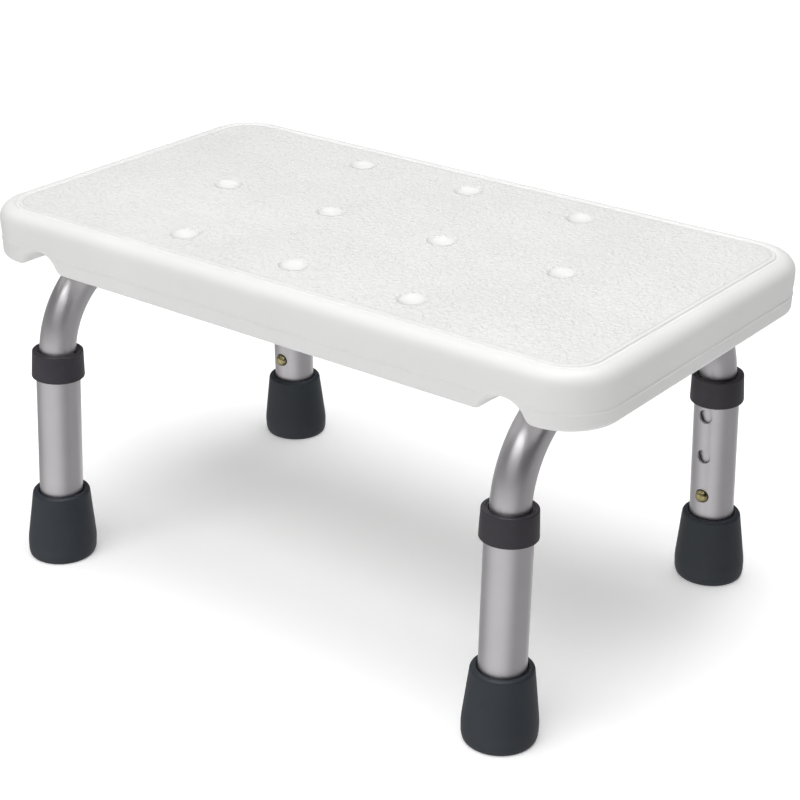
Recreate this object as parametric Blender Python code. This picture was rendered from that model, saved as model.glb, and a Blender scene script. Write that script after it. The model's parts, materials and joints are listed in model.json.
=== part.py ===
"""Height-adjustable bath step: a hollow moulded platform on two bent tube frames with four sliding legs.

Metres, +Z up. The origin is on the floor under the middle of the platform. +X runs along the
platform's long side and +Y across it. Each leg leans outwards a little towards the floor. It slides
down along its own axis over the frame tube, and a sprung snap button in the frame tube locks it in
one of three holes. The model stands at its lowest setting, with each button in its leg's lowest hole.
"""
from math import atan, cos, pi, sin, sqrt

import bmesh
import bpy
from mathutils import Matrix, Vector

# Platform: one hollow blow-moulded board.
PLATFORM_LENGTH = 0.410
PLATFORM_WIDTH = 0.229
PLATFORM_THICKNESS = 0.030
UNDERSIDE_HEIGHT = 0.181
PLATFORM_WALL = 0.0028
CORNER_RADIUS = 0.030
CORNER_STEPS = 6
TOP_EDGE_RADIUS = 0.008
BOTTOM_EDGE_RADIUS = 0.004
GROOVE_INSET = 0.0098
GROOVE_WIDTH = 0.0024
GROOVE_DEPTH = 0.0008
VENT_RADIUS = 0.004
VENT_Y = -0.030
VENT_SEGMENTS = 12

# Dimples in the top, three rows of 3, 4 and 3, each backed by a conical recess from below.
DIMPLE_PITCH_X = 0.0776
DIMPLE_ROW_Y = 0.0785
DIMPLE_COLUMNS = {-1: (-1.0, 0.0, 1.0), 0: (-1.5, -0.5, 0.5, 1.5), 1: (-1.0, 0.0, 1.0)}
DIMPLE_RADIUS = 0.0082
DIMPLE_DEPTH = 0.0017
DIMPLE_SEGMENTS = 16
RECESS_MOUTH_RADIUS = 0.0090
RECESS_TIP_RADIUS = 0.0050
RECESS_WEB = 0.0050
RECESS_SEGMENTS = 12

# Frame tubes: one U-shaped tube across each end of the platform.
FRAME_TUBE_RADIUS = 0.01055
FRAME_TUBE_WALL = 0.0015
FRAME_RUN_HEIGHT = 0.1767
FRAME_BEND_RADIUS = 0.0515
FRAME_END_HEIGHT = 0.0440
BEND_STEPS = 6
FRAME_SEGMENTS = 16

# Legs: where each axis meets the floor, and how far it leans per metre of height.
LEG_FLOOR_X = 0.1595
LEG_FLOOR_Y = 0.1089
LEAN_X = 0.012
LEAN_Y = 0.040
LEG_TUBE_RADIUS = 0.0127
LEG_TUBE_WALL = 0.0017
LEG_TUBE_BOTTOM = 0.0096
LEG_TUBE_TOP = 0.1260
LEG_SEGMENTS = 20
HOLE_PITCH = 0.0254
HOLE_COUNT = 3
LOWEST_HOLE_HEIGHT = 0.0562
LEG_HOLE_RADIUS = 0.0042
LEG_HOLE_SEGMENTS = 14
DRILL_START = 0.0020

# Collars, tips and the parts inside the legs.
COLLAR_BOTTOM = 0.1136
COLLAR_TOP = 0.1299
COLLAR_BOTTOM_RADIUS = 0.0153
COLLAR_TOP_RADIUS = 0.01465
COLLAR_EDGE = 0.0012
COLLAR_STEP = 0.0009
TIP_HEIGHT = 0.0413
TIP_SOLE_RADIUS = 0.0190
TIP_WIDEST_RADIUS = 0.0201
TIP_WIDEST_HEIGHT = 0.0090
TIP_TOP_RADIUS = 0.0167
TIP_EDGE = 0.0015
TIP_FLOOR = 0.0070
TREAD_RADII = (0.0090, 0.0160)
TREAD_WIDTH = 0.0016
TREAD_DEPTH = 0.0012
WASHER_RADIUS = 0.0122
WASHER_THICKNESS = 0.0015
WASHER_SEGMENTS = 16
BUTTON_RADIUS = 0.0038
BUTTON_HOLE_RADIUS = 0.0041
BUTTON_BASE = 0.0068
BUTTON_SHOULDER = 0.0130
BUTTON_CROWN = 0.0156
BUTTON_STEPS = 3
SPRING_THICKNESS = 0.0008
SPRING_WIDTH = 0.0064
SPRING_LENGTH = 0.0360

# Screws that hold each frame tube, and the threaded inserts in the platform.
SCREW_Y = 0.040
SCREW_RADIUS = 0.0024
SCREW_HEAD_RADIUS = 0.0046
SCREW_HEAD_HEIGHT = 0.0030
SCREW_LENGTH = 0.0320
SCREW_SLOT = 0.0011
SCREW_SEGMENTS = 12
SCREW_HOLE_RADIUS = 0.0028
INSERT_RADIUS = 0.0042
INSERT_LENGTH = 0.0110
BOSS_RADIUS = 0.0080
BOSS_SEGMENTS = 16

GAP = 0.0003
CHANNEL_CLEARANCE = 0.0004
MOUTH_RADIUS = 0.0148
MOUTH_AXIS_DROP = 0.0048
MOUTH_LIP = 0.0040
MOUTH_START_Y = 0.0500
MOUTH_SEGMENTS = 24
OVERSHOOT = 0.0020

SIDES = {"left": -1, "right": 1}
ROWS = {"near": -1, "far": 1}
TOP_HEIGHT = UNDERSIDE_HEIGHT + PLATFORM_THICKNESS
RUN_X = LEG_FLOOR_X - LEAN_X * FRAME_RUN_HEIGHT
CHANNEL_RADIUS = FRAME_TUBE_RADIUS + CHANNEL_CLEARANCE
LEG_BORE = LEG_TUBE_RADIUS - LEG_TUBE_WALL
SLEEVE_BORE = LEG_TUBE_RADIUS + 1.3 * GAP

MATERIALS = {
    "white_hdpe": ((0.86, 0.86, 0.85), 0.45, 0.0),
    "anodised_aluminium": ((0.62, 0.61, 0.62), 0.38, 1.0),
    "charcoal_plastic": ((0.035, 0.036, 0.040), 0.50, 0.0),
    "grey_rubber": ((0.045, 0.050, 0.060), 0.65, 0.0),
    "plated_steel": ((0.60, 0.60, 0.58), 0.30, 1.0),
    "brass": ((0.45, 0.38, 0.18), 0.28, 1.0),
}


def clear_scene():
    for obj in list(bpy.data.objects):
        bpy.data.objects.remove(obj, do_unlink=True)


def make_material(name):
    """One Principled BSDF, shared by the sub-parts made of the same stuff."""
    if name in bpy.data.materials:
        return bpy.data.materials[name]
    colour, roughness, metallic = MATERIALS[name]
    material = bpy.data.materials.new(name)
    material.use_nodes = True
    shader = material.node_tree.nodes["Principled BSDF"]
    shader.inputs["Base Color"].default_value = (*colour, 1.0)
    shader.inputs["Roughness"].default_value = roughness
    shader.inputs["Metallic"].default_value = metallic
    return material


def finish_mesh(shape, name):
    """Turn the faces outwards and hand the mesh over as Blender data, with round faces shaded smooth."""
    bmesh.ops.recalc_face_normals(shape, faces=shape.faces)
    mesh = bpy.data.meshes.new(name)
    shape.to_mesh(mesh)
    shape.free()
    mesh.shade_smooth()
    mesh.set_sharp_from_angle(angle=pi / 6)
    return mesh


def add_part(name, mesh, material, parent=None, location=(0.0, 0.0, 0.0), rotation=(0.0, 0.0, 0.0)):
    part = bpy.data.objects.new(name, mesh)
    bpy.context.scene.collection.objects.link(part)
    part.parent = parent
    part.location = location
    part.rotation_euler = rotation
    if not mesh.materials:
        mesh.materials.append(make_material(material))
    return part


def add_empty(name, location, rotation=(0.0, 0.0, 0.0)):
    empty = bpy.data.objects.new(name, None)
    bpy.context.scene.collection.objects.link(empty)
    empty.empty_display_size = 0.02
    empty.location = location
    empty.rotation_euler = rotation
    return empty


def add_cutter(name, mesh, parent=None, location=(0.0, 0.0, 0.0)):
    """A shape that only cuts others: drawn as wire and left out of the part."""
    cutter = bpy.data.objects.new(name, mesh)
    bpy.context.scene.collection.objects.link(cutter)
    cutter.parent = parent
    cutter.location = location
    cutter.hide_render = True
    cutter.display_type = "WIRE"
    return cutter


def cut(part, cutter):
    boolean = part.modifiers.new(cutter.name, "BOOLEAN")
    boolean.operation = "DIFFERENCE"
    boolean.object = cutter


def loft(rings, name):
    """Close a stack of equal rings into a solid, with a flat cap at each end."""
    shape = bmesh.new()
    loops = [[shape.verts.new(point) for point in ring] for ring in rings]
    count = len(loops[0])
    for low, high in zip(loops, loops[1:]):
        for i in range(count):
            j = (i + 1) % count
            shape.faces.new((low[i], low[j], high[j], high[i]))
    shape.faces.new(list(reversed(loops[0])))
    shape.faces.new(loops[-1])
    return finish_mesh(shape, name)


def turn(profile, segments, name, lean=(0.0, 0.0)):
    """Turn a closed (radius, height) profile about Z. Points at radius 0 lie on the axis.

    lean shifts each ring sideways per metre of height, which keeps a leaning piece's rings level.
    """
    shape = bmesh.new()
    rings = []
    for radius, height in profile:
        centre = Vector((lean[0] * height, lean[1] * height, height))
        count = segments if radius > 0.0 else 1
        angles = [2.0 * pi * i / segments for i in range(count)]
        rings.append([shape.verts.new(centre + radius * Vector((cos(a), sin(a), 0.0))) for a in angles])
    for first, second in zip(rings, rings[1:] + rings[:1]):
        if len(first) == 1 and len(second) == 1:
            continue
        for i in range(segments):
            j = (i + 1) % segments
            corners = [ring[k % len(ring)] for ring, k in ((first, i), (first, j), (second, j), (second, i))]
            shape.faces.new(list(dict.fromkeys(corners)))
    return finish_mesh(shape, name)


def cylinder(radius, bottom, top, segments, name):
    return turn([(0.0, bottom), (radius, bottom), (radius, top), (0.0, top)], segments, name)


def arc(centre, radius, start, end, steps):
    """Points on an arc, from angle start to angle end."""
    angles = [start + (end - start) * i / steps for i in range(steps + 1)]
    return [(centre[0] + radius * cos(a), centre[1] + radius * sin(a)) for a in angles]


def rounded_outline(inset, height):
    """The platform's plan outline, drawn in by inset, at one height."""
    radius = max(CORNER_RADIUS - inset, CORNER_RADIUS / 6)
    reach_x = PLATFORM_LENGTH / 2 - inset - radius
    reach_y = PLATFORM_WIDTH / 2 - inset - radius
    points = []
    for quarter, (side, row) in enumerate(((1, 1), (-1, 1), (-1, -1), (1, -1))):
        start = quarter * pi / 2
        corner = arc((side * reach_x, row * reach_y), radius, start, start + pi / 2, CORNER_STEPS)
        points += [Vector((x, y, height)) for x, y in corner]
    return points


def platform_profile():
    """(inset, height) from the underside round the edge to the top panel inside the groove."""
    bottom_centre = (BOTTOM_EDGE_RADIUS, UNDERSIDE_HEIGHT + BOTTOM_EDGE_RADIUS)
    top_centre = (TOP_EDGE_RADIUS, TOP_HEIGHT - TOP_EDGE_RADIUS)
    points = arc(bottom_centre, BOTTOM_EDGE_RADIUS, 1.5 * pi, pi, 3)
    points += arc(top_centre, TOP_EDGE_RADIUS, pi, 0.5 * pi, 4)
    points.append((GROOVE_INSET - GROOVE_WIDTH / 2, TOP_HEIGHT))
    points.append((GROOVE_INSET, TOP_HEIGHT - GROOVE_DEPTH))
    points.append((GROOVE_INSET + GROOVE_WIDTH / 2, TOP_HEIGHT))
    return points


def dimple_places():
    rows = DIMPLE_COLUMNS.items()
    return [(column * DIMPLE_PITCH_X, row * DIMPLE_ROW_Y) for row, columns in rows for column in columns]


def dimple_mesh():
    """A shallow round dish, with its rim just above the top face."""
    sphere_radius = (DIMPLE_RADIUS ** 2 + DIMPLE_DEPTH ** 2) / (2.0 * DIMPLE_DEPTH)
    profile = [(0.0, -DIMPLE_DEPTH)]
    for share in (0.35, 0.70, 1.0):
        radius = share * DIMPLE_RADIUS
        profile.append((radius, sphere_radius - DIMPLE_DEPTH - sqrt(sphere_radius ** 2 - radius ** 2)))
    profile.append((DIMPLE_RADIUS + OVERSHOOT, OVERSHOOT))
    profile.append((0.0, OVERSHOOT))
    return turn(profile, DIMPLE_SEGMENTS, "dimple_cutter")


def recess_mesh(extra, name):
    """A cone up from below to just under a dimple. extra widens it by the wall around it."""
    tip = PLATFORM_THICKNESS - DIMPLE_DEPTH - RECESS_WEB + extra
    profile = [(0.0, -OVERSHOOT), (RECESS_MOUTH_RADIUS + extra, -OVERSHOOT)]
    profile += [(RECESS_TIP_RADIUS + extra, tip), (0.0, tip)]
    return turn(profile, RECESS_SEGMENTS, name)


def mouth_rings(row):
    """The flared run-out of a tube channel, from the straight seat to past the platform's face."""
    face = PLATFORM_WIDTH / 2
    drop = TOP_HEIGHT - PLATFORM_THICKNESS - MOUTH_AXIS_DROP
    stations = (
        (MOUTH_START_Y, CHANNEL_RADIUS, FRAME_RUN_HEIGHT),
        (face - MOUTH_LIP * 2, MOUTH_RADIUS, drop),
        (face - MOUTH_LIP, MOUTH_RADIUS + MOUTH_LIP * 0.15, drop),
        (face - MOUTH_LIP * 0.3, MOUTH_RADIUS + MOUTH_LIP * 0.5, drop),
        (face + OVERSHOOT, MOUTH_RADIUS + MOUTH_LIP * 1.6, drop),
    )
    rings = []
    for y, radius, height in stations:
        circle = arc((0.0, height), radius, 0.0, 2.0 * pi, MOUTH_SEGMENTS)[:-1]
        rings.append([Vector((x, row * y, z)) for x, z in circle])
    return rings


def channel_mesh(radius, reach, name):
    circle = arc((0.0, FRAME_RUN_HEIGHT), radius, 0.0, 2.0 * pi, MOUTH_SEGMENTS)[:-1]
    return loft([[Vector((x, y, z)) for x, z in circle] for y in (-reach, reach)], name)


def cavity_cutter():
    """The hollow inside the board, less the walls of the recesses, the channels and the screw bosses."""
    low = UNDERSIDE_HEIGHT + PLATFORM_WALL
    high = TOP_HEIGHT - PLATFORM_WALL
    soft = BOTTOM_EDGE_RADIUS / 2
    stations = ((PLATFORM_WALL + soft, low), (PLATFORM_WALL, low + soft), (PLATFORM_WALL, high - 3 * soft))
    stations += ((PLATFORM_WALL + 3 * soft, high - GROOVE_DEPTH),)
    hollow = loft([rounded_outline(inset, height) for inset, height in stations], "cavity_cutter")
    cavity = add_cutter("cavity_cutter", hollow)
    wall_mesh = recess_mesh(PLATFORM_WALL, "recess_wall_cutter")
    for number, (x, y) in enumerate(dimple_places()):
        place = (x, y, UNDERSIDE_HEIGHT)
        cut(cavity, add_cutter(f"recess_wall_cutter_{number}", wall_mesh, location=place))
    low = UNDERSIDE_HEIGHT - OVERSHOOT
    boss_mesh = cylinder(BOSS_RADIUS, low, TOP_HEIGHT, BOSS_SEGMENTS, "boss_cutter")
    for side, sign in SIDES.items():
        reach = PLATFORM_WIDTH / 2 + OVERSHOOT
        block = MOUTH_RADIUS + MOUTH_LIP * 0.6 + PLATFORM_WALL
        mesh = channel_mesh(block, reach, f"channel_wall_cutter_{side}")
        cut(cavity, add_cutter(f"channel_wall_cutter_{side}", mesh, location=(sign * RUN_X, 0.0, 0.0)))
        for row, row_sign in ROWS.items():
            place = (sign * RUN_X, row_sign * SCREW_Y, 0.0)
            cut(cavity, add_cutter(f"boss_cutter_{row}_{side}", boss_mesh, location=place))
    return cavity


def build_platform():
    """The board: grooved top, dimples, recesses below, and a flared channel for each frame tube."""
    mesh = loft([rounded_outline(inset, height) for inset, height in platform_profile()], "platform")
    platform = add_part("platform", mesh, "white_hdpe")
    cut(platform, cavity_cutter())
    dimple = dimple_mesh()
    recess = recess_mesh(0.0, "recess_cutter")
    for number, (x, y) in enumerate(dimple_places()):
        cut(platform, add_cutter(f"dimple_cutter_{number}", dimple, location=(x, y, TOP_HEIGHT)))
        cut(platform, add_cutter(f"recess_cutter_{number}", recess, location=(x, y, UNDERSIDE_HEIGHT)))
    pocket_low = FRAME_RUN_HEIGHT
    pocket_high = FRAME_RUN_HEIGHT + CHANNEL_RADIUS + INSERT_LENGTH + 3 * GAP
    pocket = cylinder(INSERT_RADIUS + GAP, pocket_low, pocket_high, SCREW_SEGMENTS, "pocket_cutter")
    for side, sign in SIDES.items():
        place = (sign * RUN_X, 0.0, 0.0)
        seat = channel_mesh(CHANNEL_RADIUS, MOUTH_START_Y + OVERSHOOT, f"seat_cutter_{side}")
        cut(platform, add_cutter(f"seat_cutter_{side}", seat, location=place))
        for row, row_sign in ROWS.items():
            mouth = loft(mouth_rings(row_sign), f"mouth_cutter_{row}_{side}")
            cut(platform, add_cutter(f"mouth_cutter_{row}_{side}", mouth, location=place))
            boss = (sign * RUN_X, row_sign * SCREW_Y, 0.0)
            cut(platform, add_cutter(f"pocket_cutter_{row}_{side}", pocket, location=boss))
    vent_top = UNDERSIDE_HEIGHT + PLATFORM_THICKNESS / 2
    vent = cylinder(VENT_RADIUS, UNDERSIDE_HEIGHT - OVERSHOOT, vent_top, VENT_SEGMENTS, "vent_cutter")
    cut(platform, add_cutter("vent_cutter", vent, location=(0.0, VENT_Y, 0.0)))


def frame_path():
    """(y, z, turn angle) along half of a frame tube, from its open end up to the middle of its run."""
    lean = atan(LEAN_Y)
    end_y = LEG_FLOOR_Y - LEAN_Y * FRAME_END_HEIGHT
    centre_z = FRAME_RUN_HEIGHT - FRAME_BEND_RADIUS
    bend_start_z = centre_z + FRAME_BEND_RADIUS * sin(lean)
    centre_y = LEG_FLOOR_Y - LEAN_Y * bend_start_z - FRAME_BEND_RADIUS * cos(lean)
    points = [(end_y, FRAME_END_HEIGHT, lean)]
    for step in range(BEND_STEPS + 1):
        angle = lean + (pi / 2 - lean) * step / BEND_STEPS
        reach = FRAME_BEND_RADIUS * cos(angle)
        points.append((centre_y + reach, centre_z + FRAME_BEND_RADIUS * sin(angle), angle))
    return points


def tube_ring(y, z, angle, radius):
    """A ring square to the tube, where angle turns from 0 on an upright leg to a right angle on the run."""
    across = Vector((1.0, 0.0, 0.0))
    outward = Vector((0.0, cos(angle), sin(angle)))
    centre = Vector((0.0, y, z))
    angles = [2.0 * pi * i / FRAME_SEGMENTS for i in range(FRAME_SEGMENTS)]
    return [centre + radius * (cos(a) * across + sin(a) * outward) for a in angles]


def frame_mesh(name):
    """A U-shaped tube, open at both ends, in a frame whose origin is the middle of its run."""
    half = frame_path()
    path = [(y, z - FRAME_RUN_HEIGHT, angle) for y, z, angle in half]
    path += [(-y, z, pi - angle) for y, z, angle in reversed(path)]
    outer = [tube_ring(*point, FRAME_TUBE_RADIUS) for point in path]
    inner = [tube_ring(*point, FRAME_TUBE_RADIUS - FRAME_TUBE_WALL) for point in path]
    shape = bmesh.new()
    loops = [[shape.verts.new(point) for point in ring] for ring in outer + inner[::-1]]
    for low, high in zip(loops, loops[1:] + loops[:1]):
        for i in range(FRAME_SEGMENTS):
            j = (i + 1) % FRAME_SEGMENTS
            shape.faces.new((low[i], low[j], high[j], high[i]))
    return finish_mesh(shape, name)


def build_frame(side, legs):
    """One frame tube, with its screws, inserts, and a hole for each snap button."""
    sign = SIDES[side]
    name = f"frame_tube_{side}"
    tilt = (0.0, -sign * atan(LEAN_X), 0.0)
    middle = (sign * RUN_X, 0.0, FRAME_RUN_HEIGHT)
    frame = add_part(name, frame_mesh(name), "anodised_aluminium", None, middle, tilt)
    low = FRAME_RUN_HEIGHT - FRAME_TUBE_RADIUS - OVERSHOOT
    high = FRAME_RUN_HEIGHT + FRAME_TUBE_RADIUS + OVERSHOOT
    drill = cylinder(SCREW_HOLE_RADIUS, low, high, SCREW_SEGMENTS, "drill")
    height = (0.0, 0.0, LOWEST_HOLE_HEIGHT)
    for row, row_sign in ROWS.items():
        label = f"{row}_{side}"
        hole = across_leg_cylinder(BUTTON_HOLE_RADIUS, LEG_TUBE_RADIUS, -row_sign, "frame_button_cutter")
        cut(frame, add_cutter(f"frame_button_cutter_{label}", hole, legs[(row, side)], height))
        place = (sign * RUN_X, row_sign * SCREW_Y, 0.0)
        cut(frame, add_cutter(f"screw_hole_cutter_{label}", drill, location=place))
        build_screw(label, place)
        build_insert(label, place)


def build_screw(label, place):
    """A pan-head screw with a cross recess, up through the frame tube into the platform."""
    seat = FRAME_RUN_HEIGHT - FRAME_TUBE_RADIUS - GAP
    low = seat - SCREW_HEAD_HEIGHT
    middle = low + SCREW_HEAD_HEIGHT / 2
    head = [(0.0, low), (SCREW_HEAD_RADIUS / 2, low), (SCREW_HEAD_RADIUS, middle), (SCREW_HEAD_RADIUS, seat)]
    shank = [(SCREW_RADIUS, seat), (SCREW_RADIUS, seat + SCREW_LENGTH), (0.0, seat + SCREW_LENGTH)]
    mesh = turn(head + shank, SCREW_SEGMENTS, "frame_screw")
    screw = add_part(f"frame_screw_{label}", mesh, "plated_steel", None, place)
    long, short = SCREW_HEAD_RADIUS / 2, SCREW_SLOT / 2
    for number, (reach_x, reach_y) in enumerate(((long, short), (short, long))):
        corners = [(reach_x, reach_y), (-reach_x, reach_y), (-reach_x, -reach_y), (reach_x, -reach_y)]
        rings = [[Vector((x, y, z)) for x, y in corners] for z in (low - OVERSHOOT, middle)]
        slot = loft(rings, "slot_cutter")
        cut(screw, add_cutter(f"slot_cutter_{number}_{label}", slot, location=place))


def build_insert(label, place):
    """The threaded bush that a frame screw turns into."""
    bottom = FRAME_RUN_HEIGHT + CHANNEL_RADIUS + GAP
    top = bottom + INSERT_LENGTH
    bore = SCREW_RADIUS + GAP
    ring = [(bore, bottom), (INSERT_RADIUS, bottom), (INSERT_RADIUS, top), (bore, top)]
    mesh = turn(ring, SCREW_SEGMENTS, "threaded_insert")
    add_part(f"threaded_insert_{label}", mesh, "brass", None, place)


def across_leg_cylinder(radius, end, direction, name):
    """A drill square to a leg, from inside its bore to end away from its axis, in the leg's frame."""
    mesh = cylinder(radius, DRILL_START, end, LEG_HOLE_SEGMENTS, name)
    mesh.transform(Matrix.Rotation(-direction * pi / 2, 4, "X"))
    return mesh


def leg_tube_mesh(name):
    profile = [(LEG_TUBE_RADIUS, LEG_TUBE_BOTTOM), (LEG_TUBE_RADIUS, LEG_TUBE_TOP)]
    profile += [(LEG_BORE, LEG_TUBE_TOP), (LEG_BORE, LEG_TUBE_BOTTOM)]
    return turn(profile, LEG_SEGMENTS, name)


def collar_mesh():
    """A sleeve pushed onto the leg tube, with a stepped lip that closes in on the frame tube."""
    lip = FRAME_TUBE_RADIUS + 1.5 * GAP
    ledge = LEG_TUBE_TOP + GAP
    profile = [(SLEEVE_BORE, COLLAR_BOTTOM), (COLLAR_BOTTOM_RADIUS - COLLAR_EDGE, COLLAR_BOTTOM)]
    profile += [(COLLAR_BOTTOM_RADIUS, COLLAR_BOTTOM + COLLAR_EDGE)]
    profile += [(COLLAR_TOP_RADIUS, COLLAR_TOP - COLLAR_EDGE)]
    profile += [(COLLAR_TOP_RADIUS - COLLAR_EDGE, COLLAR_TOP), (lip + 2 * COLLAR_STEP, COLLAR_TOP)]
    profile += [(lip, COLLAR_TOP - COLLAR_STEP), (lip, ledge), (SLEEVE_BORE, ledge)]
    return turn(profile, LEG_SEGMENTS, "collar")


def tread_profile():
    """The sole from its rim to the middle, with ring grooves between flat lands, at floor level."""
    points = []
    for radius in sorted(TREAD_RADII, reverse=True):
        points += [(radius, 0.0), (radius - TREAD_WIDTH * 0.2, TREAD_DEPTH)]
        points += [(radius - TREAD_WIDTH * 0.8, TREAD_DEPTH), (radius - TREAD_WIDTH, 0.0)]
    points.append((0.0, 0.0))
    return points


def tip_mesh(row, side):
    """A rubber tip whose sole lies level on the floor although its leg leans."""
    profile = [(0.0, TIP_FLOOR), (SLEEVE_BORE, TIP_FLOOR), (SLEEVE_BORE, TIP_HEIGHT - TIP_EDGE)]
    profile += [(SLEEVE_BORE + TIP_EDGE / 2, TIP_HEIGHT), (TIP_TOP_RADIUS - TIP_EDGE, TIP_HEIGHT)]
    profile += [(TIP_TOP_RADIUS, TIP_HEIGHT - TIP_EDGE), (TIP_WIDEST_RADIUS, TIP_WIDEST_HEIGHT)]
    profile += [(TIP_WIDEST_RADIUS - TIP_EDGE / 4, TIP_EDGE), (TIP_SOLE_RADIUS, 0.0)]
    lean = (-SIDES[side] * LEAN_X, -ROWS[row] * LEAN_Y)
    return turn(profile + tread_profile(), LEG_SEGMENTS, f"rubber_tip_{row}_{side}", lean)


def button_mesh(direction):
    """A domed pin that points out of the leg, square to the leg's axis."""
    rise = BUTTON_CROWN - BUTTON_SHOULDER
    profile = [(0.0, BUTTON_BASE), (BUTTON_RADIUS, BUTTON_BASE)]
    for step in range(BUTTON_STEPS):
        angle = pi / 2 * step / BUTTON_STEPS
        profile.append((BUTTON_RADIUS * cos(angle), BUTTON_SHOULDER + rise * sin(angle)))
    profile.append((0.0, BUTTON_CROWN))
    mesh = turn(profile, LEG_HOLE_SEGMENTS, "snap_button")
    mesh.transform(Matrix.Rotation(-direction * pi / 2, 4, "X"))
    return mesh


def spring_mesh(direction):
    """A folded strip inside the frame tube: one leaf behind the button, the other against the far wall."""
    front = BUTTON_BASE - GAP
    back = -(FRAME_TUBE_RADIUS - FRAME_TUBE_WALL - 3 * GAP)
    low = -BUTTON_RADIUS
    thick = SPRING_THICKNESS
    tip = SPRING_LENGTH
    outer = [(front, low), (front, -low), (thick, tip), (-thick, tip), (back, low)]
    inner = [(back + thick, low), (0.0, tip - 2 * thick), (front - thick, -low), (front - thick, low)]
    half = SPRING_WIDTH / 2
    rings = [[Vector((x, direction * y, z)) for y, z in outer + inner] for x in (-half, half)]
    return loft(rings, "button_spring")


def build_leg(row, side, leg):
    """One sliding leg with its collar, tip and washer, and the snap button that locks it."""
    inward = -ROWS[row]
    label = f"{row}_{side}"
    tube = add_part(f"leg_tube_{label}", leg_tube_mesh(f"leg_tube_{label}"), "anodised_aluminium", leg)
    hole = across_leg_cylinder(LEG_HOLE_RADIUS, LEG_TUBE_RADIUS + OVERSHOOT, inward, "leg_hole_cutter")
    for number in range(HOLE_COUNT):
        height = LOWEST_HOLE_HEIGHT + number * HOLE_PITCH
        cut(tube, add_cutter(f"leg_hole_cutter_{number}_{label}", hole, leg, (0.0, 0.0, height)))
    add_part(f"collar_{label}", collar_mesh(), "charcoal_plastic", leg)
    add_part(f"rubber_tip_{label}", tip_mesh(row, side), "grey_rubber", None, leg.location)
    rest = LEG_TUBE_BOTTOM - GAP - WASHER_THICKNESS
    washer = cylinder(WASHER_RADIUS, rest, rest + WASHER_THICKNESS, WASHER_SEGMENTS, "tip_washer")
    add_part(f"tip_washer_{label}", washer, "plated_steel", leg)
    at_button = (0.0, 0.0, LOWEST_HOLE_HEIGHT)
    add_part(f"snap_button_{label}", button_mesh(inward), "brass", leg, at_button)
    add_part(f"button_spring_{label}", spring_mesh(inward), "plated_steel", leg, at_button)


def leg_frames():
    """An empty for each leg, on the floor, with its Z up along the leg's leaning axis."""
    frames = {}
    for row, row_sign in ROWS.items():
        for side, sign in SIDES.items():
            lean_y = row_sign * atan(LEAN_Y * cos(atan(LEAN_X)))
            rotation = (lean_y, -sign * atan(LEAN_X), 0.0)
            place = (sign * LEG_FLOOR_X, row_sign * LEG_FLOOR_Y, 0.0)
            frames[(row, side)] = add_empty(f"leg_axis_{row}_{side}", place, rotation)
    return frames


def build():
    clear_scene()
    build_platform()
    legs = leg_frames()
    for side in SIDES:
        build_frame(side, legs)
    for (row, side), leg in legs.items():
        build_leg(row, side, leg)


build()
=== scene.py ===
import json
from math import atan, cos, pi, radians, sin, sqrt

import bmesh
import bpy
import numpy as np
from mathutils import Matrix, Vector


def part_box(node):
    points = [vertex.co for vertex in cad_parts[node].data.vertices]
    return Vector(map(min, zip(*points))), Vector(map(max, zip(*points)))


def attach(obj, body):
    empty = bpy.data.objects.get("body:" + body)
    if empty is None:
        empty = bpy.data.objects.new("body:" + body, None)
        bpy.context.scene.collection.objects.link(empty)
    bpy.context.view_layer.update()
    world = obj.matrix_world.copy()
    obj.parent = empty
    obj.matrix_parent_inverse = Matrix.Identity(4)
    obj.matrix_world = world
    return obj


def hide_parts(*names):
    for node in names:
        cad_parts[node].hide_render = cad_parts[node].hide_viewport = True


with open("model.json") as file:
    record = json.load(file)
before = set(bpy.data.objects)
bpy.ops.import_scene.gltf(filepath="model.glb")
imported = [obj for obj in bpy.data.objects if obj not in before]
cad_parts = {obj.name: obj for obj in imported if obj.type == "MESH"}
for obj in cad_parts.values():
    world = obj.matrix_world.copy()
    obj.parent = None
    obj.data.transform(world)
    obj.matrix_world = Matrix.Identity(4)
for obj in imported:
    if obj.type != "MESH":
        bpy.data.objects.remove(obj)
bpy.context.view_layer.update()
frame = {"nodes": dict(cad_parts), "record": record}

RECORD = frame["record"]
MOUNTS = {mount["name"]: mount for mount in RECORD["mounts"]}
JOINTS = {joint["name"]: joint for joint in RECORD["behaviour"]["joints"]}
SIDES = ("left", "right")
ROWS = ("near", "far")
LABELS = [f"{row}_{side}" for row in ROWS for side in SIDES]
STEEL_NODES = ("tip_washer", "button_spring", "frame_screw")
BRASS_NODES = ("threaded_insert",)

# Camera: from beyond the near right corner, looking a little down.
CAMERA_PLACE = (0.63055, -0.81878, 0.57714)
CAMERA_AZIMUTH = radians(37.10)
CAMERA_ELEVATION = radians(24.547)
CAMERA_ROLL = radians(0.531)
CAMERA_LENS = 88.79
SENSOR = 36.0
CLIP = (0.05, 50.0)

# Meshes. Edges that bend more than SHARP_ANGLE are shaded sharp. A tube's wall faces straight out or
# in, to within WALL_FACING. SOFT_SHARE is how much of each edge a softened corner may use.
SHARP_ANGLE = radians(42)
WALL_FACING = cos(radians(10))
SOFT_SHARE = 0.45
MERGE_REACH = 2.5e-5
TINY = 1e-5
ROUND = 96

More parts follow.
